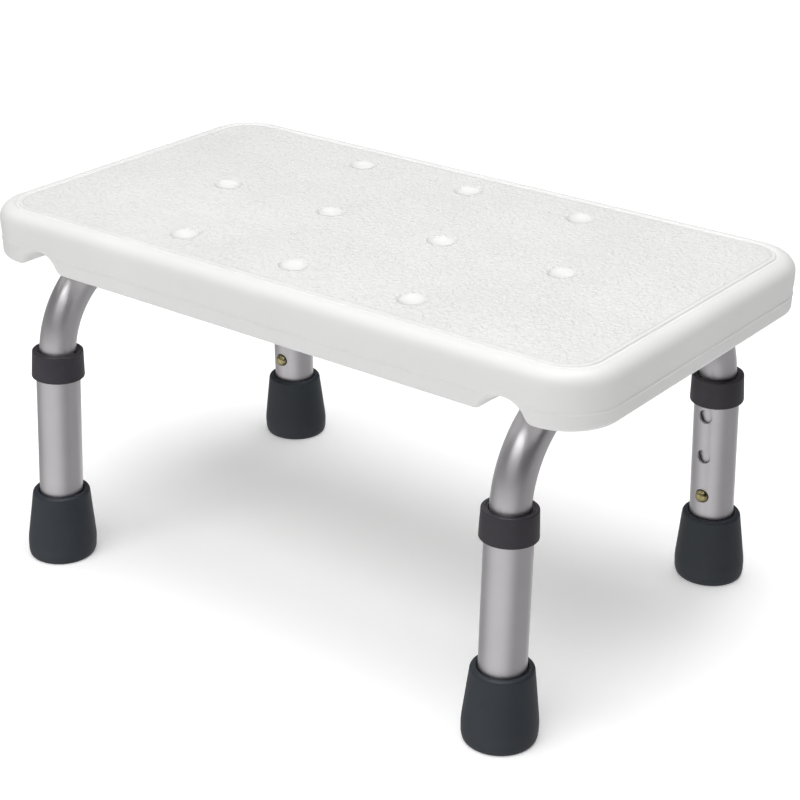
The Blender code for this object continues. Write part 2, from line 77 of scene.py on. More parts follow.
# Platform sizes that the frame's box doesn't give.
CORNER_RADIUS = 0.030
RIM_RADIUS = 0.0080
UNDER_RADIUS = 0.0030
DRAFT = 0.0005
DRAFT_START = 0.25
SEAM_HEIGHT = 0.0096
SEAM_PROUD = 0.00034
SEAM_HALF = 0.00055
SEAM_LIFTS = ((0.45, 0.6), (0.0, 1.0), (-0.45, 0.6))
SEAM_CLEARANCE = 0.0022
SEAM_FADE = (0.0005, 0.0030)
GROOVE_PANEL_SIDE = 0.0115
GROOVE_WALL = 0.0009
GROOVE_RIM_SIDE = 0.0081
GROOVE_SLOPE = 0.0022
GROOVE_DEPTH = 0.0009
PANEL_INSET = 0.0135
GROOVE_STEPS = 35
RIM_STEPS = 12
SIDE_STEPS = 8
FOOT_STEPS = 5
UNDER_STEPS = 8

# The panel's fine lines, its dimples, and what is below them.
CELL = 0.00108
MARGIN_CELLS = 3
DIMPLE_PITCH_X = 0.0776
DIMPLE_ROW_Y = 0.0785
DIMPLE_COLUMNS = {-1: (-1.0, 0.0, 1.0), 0: (-1.5, -0.5, 0.5, 1.5), 1: (-1.0, 0.0, 1.0)}
DIMPLE_RADIUS = 0.0074
DIMPLE_DEPTH = 0.0019
DIMPLE_LIP = 0.10
DIMPLE_END = 0.012
GRAIN_FADE = (0.90, 1.18)
RECESS_MOUTH = 0.0088
RECESS_TIP = 0.0048
RECESS_DEPTH = 0.0230
WARP_REACH = 0.0150
WARP_HOLD = 0.72
VENT_Y = -0.030
VENT_RADIUS = 0.0040
VENT_DEPTH = 0.0060

# Channels across the underside, for the frame tubes.
SEAT_CROWN = 0.00665
SEAT_RADIUS = 0.01095
SEAT_FILLET = 0.0020
MOUTH_CROWN = 0.0102
MOUTH_RADIUS = 0.0148
MOUTH_FILLET = 0.0045
SEAT_END = 0.050
MOUTH_END = 0.105

# Tubes and what is on them.
FRAME_RADIUS = 0.01055
FRAME_WALL = 0.0015
FRAME_BEND = 0.0515
FRAME_END_HEIGHT = 0.0440
LEG_RADIUS = 0.0127
LEG_WALL = 0.0017
HOLE_RADIUS = 0.0042
HOLE_PITCH = 0.0254
LOWEST_HOLE = 0.0562
LEG_BOTTOM = 0.0096
LEG_TOP = 0.1260
LEG_EDGE = 0.0003
LEG_STEPS = 60
FRAME_END_STEPS = 40
FRAME_BEND_STEPS = 40
FRAME_RUN_STEPS = 16
SCREW_Y = 0.040
SCREW_HOLE = 0.0028
SCREW_DRILL = 0.026
BUTTON_HOLE = 0.0041
DRILL_START = 0.003
DRILL_LENGTH = 0.020
DRILL_TURN = pi / 200
DRILL_ROUND = 64

# Snap button, measured out from the leg's axis.
BUTTON_RADIUS = 0.0038
BUTTON_BASE = 0.0068
BUTTON_SHOULDER = 0.0130
BUTTON_CROWN = 0.0156
BUTTON_EDGE = 0.0003
BUTTON_FULLNESS = 0.85
BUTTON_STEPS = 12
BUTTON_ROUND = 48

# Outlines of the collar and the rubber tip: (radius, height) up from the sole.
SOCKET_RADIUS = 0.01309
COLLAR_OUTLINE = (
    (SOCKET_RADIUS, 0.1136), (0.0153, 0.1136), (0.01465, 0.1299), (0.0126, 0.1299),
    (0.0122, 0.1294), (0.0108, 0.1294), (0.0108, 0.1263), (SOCKET_RADIUS, 0.1263),
)
TIP_OUTLINE = (
    (0.0, 0.0070), (SOCKET_RADIUS, 0.0070), (SOCKET_RADIUS, 0.0406), (0.0136, 0.0413),
    (0.0157, 0.0413), (0.0168, 0.0400), (0.0200, 0.0120), (0.0202, 0.0090), (0.0200, 0.0030), (0.0190, 0.0),
)
MOULD_SOFTNESS = 0.0011
COLLAR_SOFT_STEPS = 5
TIP_SOFT_STEPS = 4
TREAD_RADII = (0.0160, 0.0120, 0.0080)
TREAD_HALF = 0.0008
TREAD_TAPER = 0.0002
TREAD_DEPTH = 0.0011

# Each material's darker and lighter colour.
WHITE = ((0.712, 0.711, 0.705), (0.742, 0.742, 0.737))
ALUMINIUM = ((0.590, 0.572, 0.588), (0.650, 0.632, 0.648))
RUBBER = ((0.017, 0.022, 0.030), (0.024, 0.030, 0.039))
CHARCOAL = ((0.022, 0.018, 0.025), (0.030, 0.025, 0.034))
BRASS = ((0.36, 0.31, 0.15), (0.52, 0.46, 0.25))
STEEL = ((0.52, 0.52, 0.50), (0.66, 0.66, 0.64))

# Studio: the floor's tones and its own glow, near and far, then the world's strengths. The spans say
# over which part of a direction, or of a distance, one strength gives way to the next.
FLOOR_REACH = 9.0
FLOOR_TONES = (0.88, 0.90)
FLOOR_GLOW = 0.29
FAR_GLOW = 0.75
GLOW_SPAN = (0.6, 2.4)
WORLD_LEFT = 0.24
WORLD_RIGHT = 0.02
BELOW_FRONT = 0.95
BELOW_DIM = 0.45
BELOW_BACK = 0.34
LEFT_SPAN = (-0.75, 0.55)
FRONT_SPAN = (0.10, 1.0)
BACK_WAY = (-0.40, 0.917, 0.0)
BACK_SPAN = (0.55, 0.95)
HORIZON_SPAN = (-0.10, 0.10)
FRONT_PLACE = (0.10, -1.05, 1.70)
FRONT_TARGET = (0.0, 0.0, 0.15)
FRONT_SIZE = (1.7, 0.6)
FRONT_POWER = 14.5
TOP_PLACE = (0.1, 0.15, 2.2)
TOP_TARGET = (0.0, 0.0, 0.2)
TOP_SIZE = (1.6, 1.6)
TOP_POWER = 41.5


def body_of(node):
    return next(body for body, nodes in RECORD["behaviour"]["bodies"].items() if node in nodes)


# ---------------------------------------------------------------- meshes

def make_mesh(name, points, faces, uvs=None):
    mesh = bpy.data.meshes.new(name)
    mesh.from_pydata([tuple(point) for point in points], [], faces)
    if uvs is not None:
        layer = mesh.uv_layers.new(name="metres")
        layer.data.foreach_set("uv", np.asarray(uvs, float).ravel())
    return mesh


def add_piece(name, mesh, material, node):
    """A finished piece that stands for one CAD node and moves with that node's body."""
    piece = bpy.data.objects.new(name, mesh)
    bpy.context.scene.collection.objects.link(piece)
    mesh.materials.clear()
    mesh.materials.append(material)
    mesh.shade_smooth()
    mesh.set_sharp_from_angle(angle=SHARP_ANGLE)
    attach(piece, body_of(node))
    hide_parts(node)
    return piece


def skin(rings):
    """Points, faces and metre UVs, U round and V along, for a closed stack of equal rings."""
    count = len(rings[0])
    points = [point for ring in rings for point in ring]
    faces, uvs, along = [], [], 0.0
    for low in range(len(rings)):
        high = (low + 1) % len(rings)
        reach = along + (Vector(rings[high][0]) - Vector(rings[low][0])).length
        girth = pi * (Vector(rings[low][0]) - Vector(rings[low][count // 2])).length
        for i in range(count):
            j = (i + 1) % count
            faces.append((low * count + i, low * count + j, high * count + j, high * count + i))
            left, right = girth * i / count, girth * (i + 1) / count
            uvs += [(left, along), (right, along), (right, reach), (left, reach)]
        along = reach
    return points, faces, uvs


def turned(name, profile, lean=(0.0, 0.0), segments=ROUND):
    """Turn a closed (radius, height) profile about Z, or about an axis that leans by lean per metre up.

    Radii of 0 shrink to a fan on the axis.
    """
    rings = []
    for radius, height in profile:
        angles = [2.0 * pi * i / segments for i in range(segments)]
        centre = (lean[0] * height, lean[1] * height)
        reach = max(radius, TINY)
        rings.append([(centre[0] + reach * cos(a), centre[1] + reach * sin(a), height) for a in angles])
    mesh = make_mesh(name, *skin(rings))
    return tidy(mesh)


def tidy(mesh):
    """Merge the points that meet on an axis and turn the faces outwards."""
    shape = bmesh.new()
    shape.from_mesh(mesh)
    bmesh.ops.remove_doubles(shape, verts=shape.verts, dist=MERGE_REACH)
    bmesh.ops.recalc_face_normals(shape, faces=shape.faces)
    shape.to_mesh(mesh)
    shape.free()
    return mesh


def soften(corners, radius, steps):
    """Round the corners of a closed (radius, height) outline. A corner on the axis stays sharp."""
    points = []
    for number, corner in enumerate(corners):
        here = Vector(corner)
        before = Vector(corners[number - 1]) - here
        after = Vector(corners[(number + 1) % len(corners)]) - here
        reach = min(radius, before.length * SOFT_SHARE, after.length * SOFT_SHARE)
        if here.x < TINY or reach < TINY:
            points.append(tuple(here))
            continue
        start = here + before.normalized() * reach
        end = here + after.normalized() * reach
        for step in range(steps + 1):
            t = step / steps
            points.append(tuple(start.lerp(here, t).lerp(here.lerp(end, t), t)))
    return points


def drill(mesh, cutters):
    """Cut round holes through a mesh. Each cutter is (radius, length, matrix)."""
    target = bpy.data.objects.new("drilled", mesh)
    bpy.context.scene.collection.objects.link(target)
    tools = []
    for radius, length, matrix in cutters:
        profile = ((0.0, 0.0), (radius, 0.0), (radius, length), (0.0, length))
        tool_mesh = turned("tool", profile, segments=DRILL_ROUND)
        tool_mesh.transform(matrix)
        tool = bpy.data.objects.new("tool", tool_mesh)
        bpy.context.scene.collection.objects.link(tool)
        modifier = target.modifiers.new("hole", "BOOLEAN")
        modifier.operation = "DIFFERENCE"
        modifier.object = tool
        tools.append(tool)
    graph = bpy.context.evaluated_depsgraph_get()
    result = bpy.data.meshes.new_from_object(target.evaluated_get(graph))
    for extra in tools + [target]:
        bpy.data.objects.remove(extra, do_unlink=True)
    return result


# ---------------------------------------------------------------- platform

LOW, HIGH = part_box("platform")
HALF_X, HALF_Y = HIGH.x, HIGH.y
UNDERSIDE, TOP = LOW.z, HIGH.z


def smooth_step(low, high, value):
    t = np.clip((value - low) / (high - low), 0.0, 1.0)
    return t * t * (3.0 - 2.0 * t)


def run_x(side):
    """Where the middle of a frame tube's run lies along X: its leg's axis, carried up to the run."""
    foot = Vector(MOUNTS[f"sole_near_{side}"]["pos_m"])
    axis = -Vector(JOINTS[f"leg_slide_near_{side}"]["axis"])
    return foot.x + axis.x / axis.z * (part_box(f"frame_tube_{side}")[1].z - FRAME_RADIUS)


def channel_rise(x, y):
    """How far a tube channel's roof stands above the underside: a filleted arch, wider at the faces."""
    rise = np.zeros_like(x)
    widening = smooth_step(SEAT_END, MOUTH_END, np.abs(y))
    radius = SEAT_RADIUS + (MOUTH_RADIUS - SEAT_RADIUS) * widening
    crown = SEAT_CROWN + (MOUTH_CROWN - SEAT_CROWN) * widening
    fillet = SEAT_FILLET + (MOUTH_FILLET - SEAT_FILLET) * widening
    centre = crown - radius
    foot = np.sqrt((radius + fillet) ** 2 - (fillet - centre) ** 2)
    meet = foot * radius / (radius + fillet)
    for side in SIDES:
        off = np.abs(x - run_x(side))
        arch = centre + np.sqrt(np.maximum(radius ** 2 - off ** 2, 0.0))
        flare = fillet - np.sqrt(np.maximum(fillet ** 2 - (foot - off) ** 2, 0.0))
        rise = np.maximum(rise, np.where(off < meet, arch, np.where(off < foot, flare, 0.0)))
    return rise


def dimple_places():
    rows = DIMPLE_COLUMNS.items()
    return [(column * DIMPLE_PITCH_X, row * DIMPLE_ROW_Y) for row, columns in rows for column in columns]


def dimple_drop(x, y):
    """Shallow round dishes with a softly rounded lip."""
    drop = np.zeros_like(x)
    for place in dimple_places():
        share = np.hypot(x - place[0], y - place[1]) / DIMPLE_RADIUS
        bowl = 1.0 - share ** 2
        soft = bowl + np.sqrt(bowl ** 2 + DIMPLE_LIP ** 2)
        drop += DIMPLE_DEPTH * soft / (1.0 + sqrt(1.0 + DIMPLE_LIP ** 2))
    return np.where(drop > DIMPLE_DEPTH * DIMPLE_END, drop, 0.0)


def recess_rise(x, y):
    """Deep conical recesses from below, one under each dimple, and the small round vent."""
    rise = np.zeros_like(x)
    for place in dimple_places():
        away = np.hypot(x - place[0], y - place[1])
        wall = np.clip((RECESS_MOUTH - away) / (RECESS_MOUTH - RECESS_TIP), 0.0, 1.0)
        rise = np.maximum(rise, RECESS_DEPTH * wall)
    away = np.hypot(x, y - VENT_Y)
    wall = np.clip((VENT_RADIUS + CELL / 2 - away) / CELL, 0.0, 1.0)
    return np.maximum(rise, VENT_DEPTH * wall)


def grid_lines(half, corner, pitch):
    """Lines from -half to half, close to CELL apart, with every multiple of pitch on a line."""
    flat = half - corner
    cell = pitch / round(pitch / CELL)
    whole = int((flat - MARGIN_CELLS * cell) / cell)
    middle = [number * cell for number in range(-whole, whole + 1)]
    rest = max(round((flat - whole * cell) / cell), 1)
    outer = [whole * cell + (flat - whole * cell) * k / rest for k in range(1, rest + 1)]
    steps = round(corner / CELL)
    outer += [flat + corner * k / steps for k in range(1, steps + 1)]
    return np.array([-v for v in reversed(outer)] + middle + outer)


def round_corners(x, y, half_x, half_y, corner):
    """Bend the panel's square corners onto round ones, with the lines between them spread evenly."""
    p = np.clip((np.abs(x) - (half_x - corner)) / corner, 0.0, 1.0)
    q = np.clip((np.abs(y) - (half_y - corner)) / corner, 0.0, 1.0)
    inside = (p > 0.0) & (q > 0.0)
    bent_x = np.sign(x) * (half_x - corner + corner * p * np.sqrt(1.0 - q * q / 2.0))
    bent_y = np.sign(y) * (half_y - corner + corner * q * np.sqrt(1.0 - p * p / 2.0))
    return np.where(inside, bent_x, x), np.where(inside, bent_y, y)


def ring_round(x, y, place):
    """Bend square rings of lines round a place into circles, so that a round edge there comes out round."""
    dx, dy = x - place[0], y - place[1]
    square = np.maximum(np.abs(dx), np.abs(dy))
    away = np.maximum(np.hypot(dx, dy), 1e-9)
    pull = 1.0 - smooth_step(WARP_REACH * WARP_HOLD, WARP_REACH, square)
    scale = 1.0 + pull * (square / away - 1.0)
    return place[0] + dx * scale, place[1] + dy * scale


def panel_grid():
    """The plan positions of the panel's points, as two arrays."""
    half_x, half_y, corner = HALF_X - PANEL_INSET, HALF_Y - PANEL_INSET, CORNER_RADIUS - PANEL_INSET
    across = grid_lines(half_x, corner, DIMPLE_PITCH_X / 2)
    up = grid_lines(half_y, corner, DIMPLE_ROW_Y)
    x, y = np.meshgrid(across, up, indexing="ij")
    x, y = round_corners(x, y, half_x, half_y, corner)
    for place in dimple_places() + [(0.0, VENT_Y)]:
        x, y = ring_round(x, y, place)
    return x, y


def border(shape):
    """The grid indices round the panel's edge, anticlockwise."""
    wide, high = shape
    edge = [(i, 0) for i in range(wide - 1)] + [(wide - 1, j) for j in range(high - 1)]
    edge += [(i, high - 1) for i in range(wide - 1, 0, -1)] + [(0, j) for j in range(high - 1, 0, -1)]
    return edge


def outline(x, y, inset):
    """Move points on the panel's edge square to it, to another inset from the platform's outline."""
    core_x, core_y = HALF_X - CORNER_RADIUS, HALF_Y - CORNER_RADIUS
    dx, dy = x - np.clip(x, -core_x, core_x), y - np.clip(y, -core_y, core_y)
    away = np.hypot(dx, dy)
    grow = (CORNER_RADIUS - inset) / away
    return x + dx * (grow - 1.0), y + dy * (grow - 1.0)


def groove_drop(inset):
    """A steep wall on the panel's side and a gentle slope up to the rim."""
    wall = smooth_step(0.0, GROOVE_WALL, GROOVE_PANEL_SIDE - inset)
    slope = smooth_step(0.0, GROOVE_SLOPE, inset - GROOVE_RIM_SIDE)
    return GROOVE_DEPTH * min(wall, slope)


def rim_rings(x, y):
    """Rings from the panel's edge out over the groove and round the rim."""
    rings = []
    for inset in np.linspace(PANEL_INSET, RIM_RADIUS, GROOVE_STEPS + 1)[1:]:
        rings.append((*outline(x, y, inset), np.full_like(x, TOP - groove_drop(inset))))
    for angle in np.linspace(0.0, pi / 2, RIM_STEPS + 1)[1:]:
        inset = RIM_RADIUS * (1.0 - sin(angle))
        rings.append((*outline(x, y, inset), np.full_like(x, TOP - RIM_RADIUS * (1.0 - cos(angle)))))
    return rings


def side_rings(x, y):
    """Rings down the side and over the parting seam, which climbs over the channel mouths."""
    rings = []
    rise = channel_rise(*outline(x, y, 0.0))
    climb = np.maximum(rise + UNDER_RADIUS + SEAM_CLEARANCE - SEAM_HEIGHT, 0.0)
    seam = UNDERSIDE + SEAM_HEIGHT + climb
    proud = SEAM_PROUD * (1.0 - smooth_step(*SEAM_FADE, rise))
    start = TOP - RIM_RADIUS
    for share in np.linspace(0.0, 1.0, SIDE_STEPS + 1)[1:]:
        inset = DRAFT * smooth_step(DRAFT_START, 1.0, share)
        rings.append((*outline(x, y, inset), start + (seam + SEAM_HALF - start) * share))
    for offset, lift in SEAM_LIFTS:
        rings.append((*outline(x, y, DRAFT - proud * lift), seam + SEAM_HALF * offset))
    low = UNDERSIDE + rise + UNDER_RADIUS
    for share in np.linspace(0.0, 1.0, FOOT_STEPS + 1):
        rings.append((*outline(x, y, DRAFT), seam - SEAM_HALF + (low - seam + SEAM_HALF) * share))
    return rings


def under_rings(x, y):
    """Rings round the bottom edge and in under the board."""
    rings = []
    for angle in np.linspace(0.0, pi / 2, UNDER_STEPS + 1)[1:]:
        place = outline(x, y, DRAFT + UNDER_RADIUS * (1.0 - cos(angle)))
        rings.append((*place, UNDERSIDE + channel_rise(*place) + UNDER_RADIUS * (1.0 - sin(angle))))
    for inset in np.linspace(DRAFT + UNDER_RADIUS, PANEL_INSET, UNDER_STEPS + 1)[1:-1]:
        place = outline(x, y, inset)
        rings.append((*place, UNDERSIDE + channel_rise(*place)))
    return rings


def platform_mesh():
    x, y = panel_grid()
    wide, high = x.shape
    top = TOP - dimple_drop(x, y)
    bottom = UNDERSIDE + np.maximum(channel_rise(x, y), recess_rise(x, y))
    edge = border(x.shape)
    rows, columns = np.array([e[0] for e in edge]), np.array([e[1] for e in edge])
    around_panel = x[rows, columns], y[rows, columns]
    rings = rim_rings(*around_panel) + side_rings(*around_panel) + under_rings(*around_panel)
    count, size = len(edge), wide * high
    points = [np.stack([x.ravel(), y.ravel(), top.ravel()], 1)]
    points += [np.stack([x.ravel(), y.ravel(), bottom.ravel()], 1)]
    points += [np.stack(ring, 1) for ring in rings]
    index = np.arange(size).reshape(wide, high)
    a, b, c, d = index[:-1, :-1], index[1:, :-1], index[1:, 1:], index[:-1, 1:]
    faces = [np.stack([v.ravel() for v in (a, b, c, d)], 1)]
    faces += [size + np.stack([v.ravel() for v in (a, d, c, b)], 1)]
    around = index[rows, columns]
    loops = [around]
    loops += [2 * size + k * count + np.arange(count) for k in range(len(rings))]
    loops.append(size + around)
    for upper, lower in zip(loops, loops[1:]):
        faces.append(np.stack([upper, lower, np.roll(lower, -1), np.roll(upper, -1)], 1))
    everything = np.concatenate(points)
    mesh = make_mesh("platform_skin", everything, np.concatenate(faces).tolist())
    return mark_grain(mesh, everything, size)


def mark_grain(mesh, points, size):
    """How strongly the grain shows at each point. The first size points are the panel, which has it all
    over except in the dimples.
    """
    x, y = points[:, 0], points[:, 1]
    grain = np.zeros(len(points))
    grain[:size] = 1.0
    for place in dimple_places():
        share = np.hypot(x - place[0], y - place[1]) / DIMPLE_RADIUS
        grain *= smooth_step(*GRAIN_FADE, share)
    layer = mesh.attributes.new("grain", "FLOAT", "POINT")
    layer.data.foreach_set("value", grain.astype(np.float32))
    return mesh


# ---------------------------------------------------------------- legs and frames

def leg_frame(label):
    """The leg's frame: origin under its axis on the floor, Z up the leg, Y the way its button faces."""
    up = -Vector(JOINTS[f"leg_slide_{label}"]["axis"]).normalized()
    facing = -Vector(JOINTS[f"button_press_{label}"]["axis"]).normalized()
    side = facing.cross(up).normalized()
    matrix = Matrix((side, facing, up)).transposed().to_4x4()
    matrix.translation = Vector(MOUNTS[f"sole_{label}"]["pos_m"])
    return matrix


def facing_drill(radius, height, frame_matrix=Matrix.Identity(4)):
    """A drill from inside the leg out through the wall that its button faces.

    It's turned a little, which keeps its corners off the wall's own lines and the cut clean.
    """
    turn = Matrix.Rotation(-pi / 2, 4, "X") @ Matrix.Rotation(DRILL_TURN, 4, "Z")
    return radius, DRILL_LENGTH, frame_matrix @ Matrix.Translation((0.0, DRILL_START, height)) @ turn


def leg_tube_mesh(label):
    heights = np.linspace(LEG_BOTTOM, LEG_TOP, LEG_STEPS)
    profile = [(LEG_RADIUS - LEG_EDGE, LEG_BOTTOM)]
    profile += [(LEG_RADIUS, h) for h in np.clip(heights, LEG_BOTTOM + LEG_EDGE, LEG_TOP - LEG_EDGE)]
    profile.append((LEG_RADIUS - LEG_EDGE, LEG_TOP))
    profile += [(LEG_RADIUS - LEG_WALL, h) for h in heights[::-1]]
    mesh = turned(f"leg_skin_{label}", profile)
    return drill(mesh, [facing_drill(HOLE_RADIUS, LOWEST_HOLE + k * HOLE_PITCH) for k in range(3)])


def collar_mesh(label):
    return turned(f"collar_skin_{label}", soften(COLLAR_OUTLINE, MOULD_SOFTNESS, COLLAR_SOFT_STEPS))


def tip_mesh(label):
    """A flared rubber tip with a rolled lip and ring treads in its level sole."""
    corners = list(TIP_OUTLINE)
    for radius in TREAD_RADII:
        for half, height in ((TREAD_HALF, 0.0), (TREAD_HALF - TREAD_TAPER, TREAD_DEPTH)):
            corners.append((radius + half, height))
        for half, height in ((TREAD_HALF - TREAD_TAPER, TREAD_DEPTH), (TREAD_HALF, 0.0)):
            corners.append((radius - half, height))
    corners.append((0.0, 0.0))
    axis = -Vector(JOINTS[f"leg_slide_{label}"]["axis"])
    profile = soften(corners, MOULD_SOFTNESS, TIP_SOFT_STEPS)
    mesh = turned(f"tip_skin_{label}", profile, (axis.x / axis.z, axis.y / axis.z))
    mesh.transform(Matrix.Translation(Vector(MOUNTS[f"sole_{label}"]["pos_m"])))
    return mesh


def button_mesh(label):
    """A short pin with a full round dome, lying along the way that it faces."""
    edge_radius, dome = BUTTON_RADIUS - BUTTON_EDGE, BUTTON_CROWN - BUTTON_SHOULDER
    profile = [(0.0, BUTTON_BASE), (edge_radius, BUTTON_BASE), (BUTTON_RADIUS, BUTTON_BASE + BUTTON_EDGE)]
    for step in range(BUTTON_STEPS + 1):
        angle = pi / 2 * step / BUTTON_STEPS
        radius = BUTTON_RADIUS * cos(angle) ** BUTTON_FULLNESS
        profile.append((radius, BUTTON_SHOULDER + dome * sin(angle)))
    mesh = turned(f"button_skin_{label}", profile, segments=BUTTON_ROUND)
    mesh.transform(Matrix.Translation((0.0, 0.0, LOWEST_HOLE)) @ Matrix.Rotation(-pi / 2, 4, "X"))
    return mesh


def true_walls(mesh, matrix):
    """Give a drilled tube's walls a plain cylinder's normals, so its holes leave no shading marks."""
    back = matrix.inverted()
    normals = []
    for face in mesh.polygons:
        flat = back.to_3x3() @ face.normal
        for index in face.loop_indices:
            point = back @ mesh.vertices[mesh.loops[index].vertex_index].co
            radial = Vector((point.x, point.y, 0.0)).normalized()
            lean = flat.dot(radial)
            wall = radial if lean > 0.0 else -radial
            normals.append(matrix.to_3x3() @ (wall if abs(lean) > WALL_FACING else flat))
    mesh.normals_split_custom_set(normals)


LEG_PIECES = (
    ("leg_tube", leg_tube_mesh, "aluminium", "anodised_aluminium"),
    ("collar", collar_mesh, "collar", "charcoal_plastic"),
    ("snap_button", button_mesh, "brass", "brass"),
)


def build_legs(materials):
    for label in LABELS:
        matrix = leg_frame(label)
        for kind, maker, material, slot_name in LEG_PIECES:
            mesh = maker(label)
            mesh.transform(matrix)
            node = f"{kind}_{label}"
            add_piece(f"{node}_piece", mesh, materials[material], node)
            if kind == "leg_tube":
                true_walls(mesh, matrix)
        node = f"rubber_tip_{label}"
        add_piece(f"{node}_piece", tip_mesh(label), materials["rubber"], node)


def frame_rings(radius, path):
    rings = []
    for y, z, angle in path:
        out = Vector((0.0, cos(angle), sin(angle)))
        centre = Vector((0.0, y, z))
        turn = [2.0 * pi * i / ROUND for i in range(ROUND)]
        rings.append([tuple(centre + radius * (Vector((cos(a), 0.0, 0.0)) + sin(a) * out)) for a in turn])
    return rings


def frame_path(side):
    """(y, z, angle) along a frame tube, in a frame whose origin is the middle of its run."""
    foot = Vector(MOUNTS[f"sole_far_{side}"]["pos_m"])
    axis = -Vector(JOINTS[f"leg_slide_far_{side}"]["axis"])
    lean = -axis.y / axis.z
    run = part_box(f"frame_tube_{side}")[1].z - FRAME_RADIUS
    tilt = atan(lean)
    centre_z = run - FRAME_BEND
    start = centre_z + FRAME_BEND * sin(tilt)
    centre_y = foot.y - lean * start - FRAME_BEND * cos(tilt)
    half = [(foot.y - lean * z, z, tilt) for z in np.linspace(FRAME_END_HEIGHT, start, FRAME_END_STEPS)[:-1]]
    for angle in np.linspace(tilt, pi / 2, FRAME_BEND_STEPS):
        half.append((centre_y + FRAME_BEND * cos(angle), centre_z + FRAME_BEND * sin(angle), angle))
    half += [(y, run, pi / 2) for y in np.linspace(centre_y, 0.0, FRAME_RUN_STEPS)[1:]]
    path = [(y, z - run, angle) for y, z, angle in half]
    return path + [(-y, z, pi - angle) for y, z, angle in reversed(path[:-1])], run


def build_frames(materials):
    for side in SIDES:
        path, run = frame_path(side)
        outer = frame_rings(FRAME_RADIUS, path)
        inner = frame_rings(FRAME_RADIUS - FRAME_WALL, path)
        mesh = tidy(make_mesh(f"frame_skin_{side}", *skin(outer + inner[::-1])))
        lean = JOINTS[f"leg_slide_near_{side}"]["axis"]
        tilt = Matrix.Rotation(-atan(lean[0] / -lean[2]), 4, "Y")
        mesh.transform(Matrix.Translation((run_x(side), 0.0, run)) @ tilt)
        tools = [facing_drill(BUTTON_HOLE, LOWEST_HOLE, leg_frame(f"{row}_{side}")) for row in ROWS]
        for y in (-SCREW_Y, SCREW_Y):
            place = (run_x(side), y, run - SCREW_DRILL / 2)
            tools.append((SCREW_HOLE, SCREW_DRILL, Matrix.Translation(place)))
        node = f"frame_tube_{side}"
        add_piece(f"{node}_piece", drill(mesh, tools), materials["aluminium"], node)


# ---------------------------------------------------------------- materials

class Nodes:
    """A short way to build the node tree of a material or a world."""

    def __init__(self, owner):
        owner.use_nodes = True
        self.owner = owner
        self.tree = owner.node_tree
        self.shader = self.tree.nodes.get("Principled BSDF")

    def add(self, kind, **settings):
        node = self.tree.nodes.new(kind)
        for key, value in settings.items():
            setattr(node, key, value)
        return node

    def link(self, source, target):
        self.tree.links.new(source, target)

    def coordinates(self, kind="Object", scale=(1.0, 1.0, 1.0)):
        source = self.add("ShaderNodeTexCoord")
        mapping = self.add("ShaderNodeMapping")
        mapping.inputs["Scale"].default_value = scale
        self.link(source.outputs[kind], mapping.inputs["Vector"])
        return mapping.outputs["Vector"]

    def noise(self, vector, scale, detail=3.0, roughness=0.5, distortion=0.0):
        node = self.add("ShaderNodeTexNoise")
        node.inputs["Scale"].default_value = scale
        node.inputs["Detail"].default_value = detail
        node.inputs["Roughness"].default_value = roughness
        node.inputs["Distortion"].default_value = distortion
        self.link(vector, node.inputs["Vector"])
        return node.outputs["Fac"]

    def cells(self, vector, scale, smooth=1.0):
        node = self.add("ShaderNodeTexVoronoi", feature="SMOOTH_F1")
        node.inputs["Scale"].default_value = scale
        node.inputs["Smoothness"].default_value = smooth
        self.link(vector, node.inputs["Vector"])
        return node.outputs["Distance"]

    def math(self, operation, first, second):
        node = self.add("ShaderNodeMath", operation=operation)
        for socket, value in zip(node.inputs, (first, second)):
            if isinstance(value, (int, float)):
                socket.default_value = value
            else:
                self.link(value, socket)
        return node.outputs["Value"]

    def ramp(self, value, stops):
        """A colour or grey ramp; stops are (position, colour)."""
        node = self.add("ShaderNodeValToRGB")
        ramp = node.color_ramp
        while len(ramp.elements) < len(stops):
            ramp.elements.new(0.5)
        for element, (position, colour) in zip(ramp.elements, stops):
            element.position = position
            element.color = (*colour, 1.0) if isinstance(colour, tuple) else (colour, colour, colour, 1.0)
        self.link(value, node.inputs["Fac"])
        return node.outputs["Color"]

    def tint(self, value, colours, low):
        """From a material's darker colour at low to its lighter one at 1 - low."""
        return self.ramp(value, ((low, colours[0]), (1.0 - low, colours[1])))

    def weighted(self, base, *terms):
        """base plus each value times its share."""
        total = base
        for value, share in terms:
            total = self.math("ADD", self.math("MULTIPLY", value, share), total)
        return total

    def span(self, value, limits, start, end):
        """Go smoothly from start to end while value goes from one limit to the other."""
        node = self.add("ShaderNodeMapRange", interpolation_type="SMOOTHSTEP")
        for name, number in zip(("From Min", "From Max", "To Min", "To Max"), (*limits, start, end)):
            node.inputs[name].default_value = number
        self.link(value, node.inputs["Value"])
        return node.outputs["Result"]

    def attribute(self, name):
        node = self.add("ShaderNodeAttribute", attribute_name=name)
        return node.outputs["Fac"]

    def bump(self, height, distance, strength=1.0, base=None):
        node = self.add("ShaderNodeBump")
        node.inputs["Distance"].default_value = distance
        node.inputs["Strength"].default_value = strength
        self.link(height, node.inputs["Height"])
        if base is not None:
            self.link(base, node.inputs["Normal"])
        return node.outputs["Normal"]

    def finish(self, colour, roughness, normal=None, **fixed):
        self.link(colour, self.shader.inputs["Base Color"])
        self.link(roughness, self.shader.inputs["Roughness"])
        if normal is not None:
            self.link(normal, self.shader.inputs["Normal"])
        for key, value in fixed.items():
            self.shader.inputs[key.replace("_", " ")].default_value = value
        return self.owner


def new_material(name):
    return Nodes(bpy.data.materials.new(name))


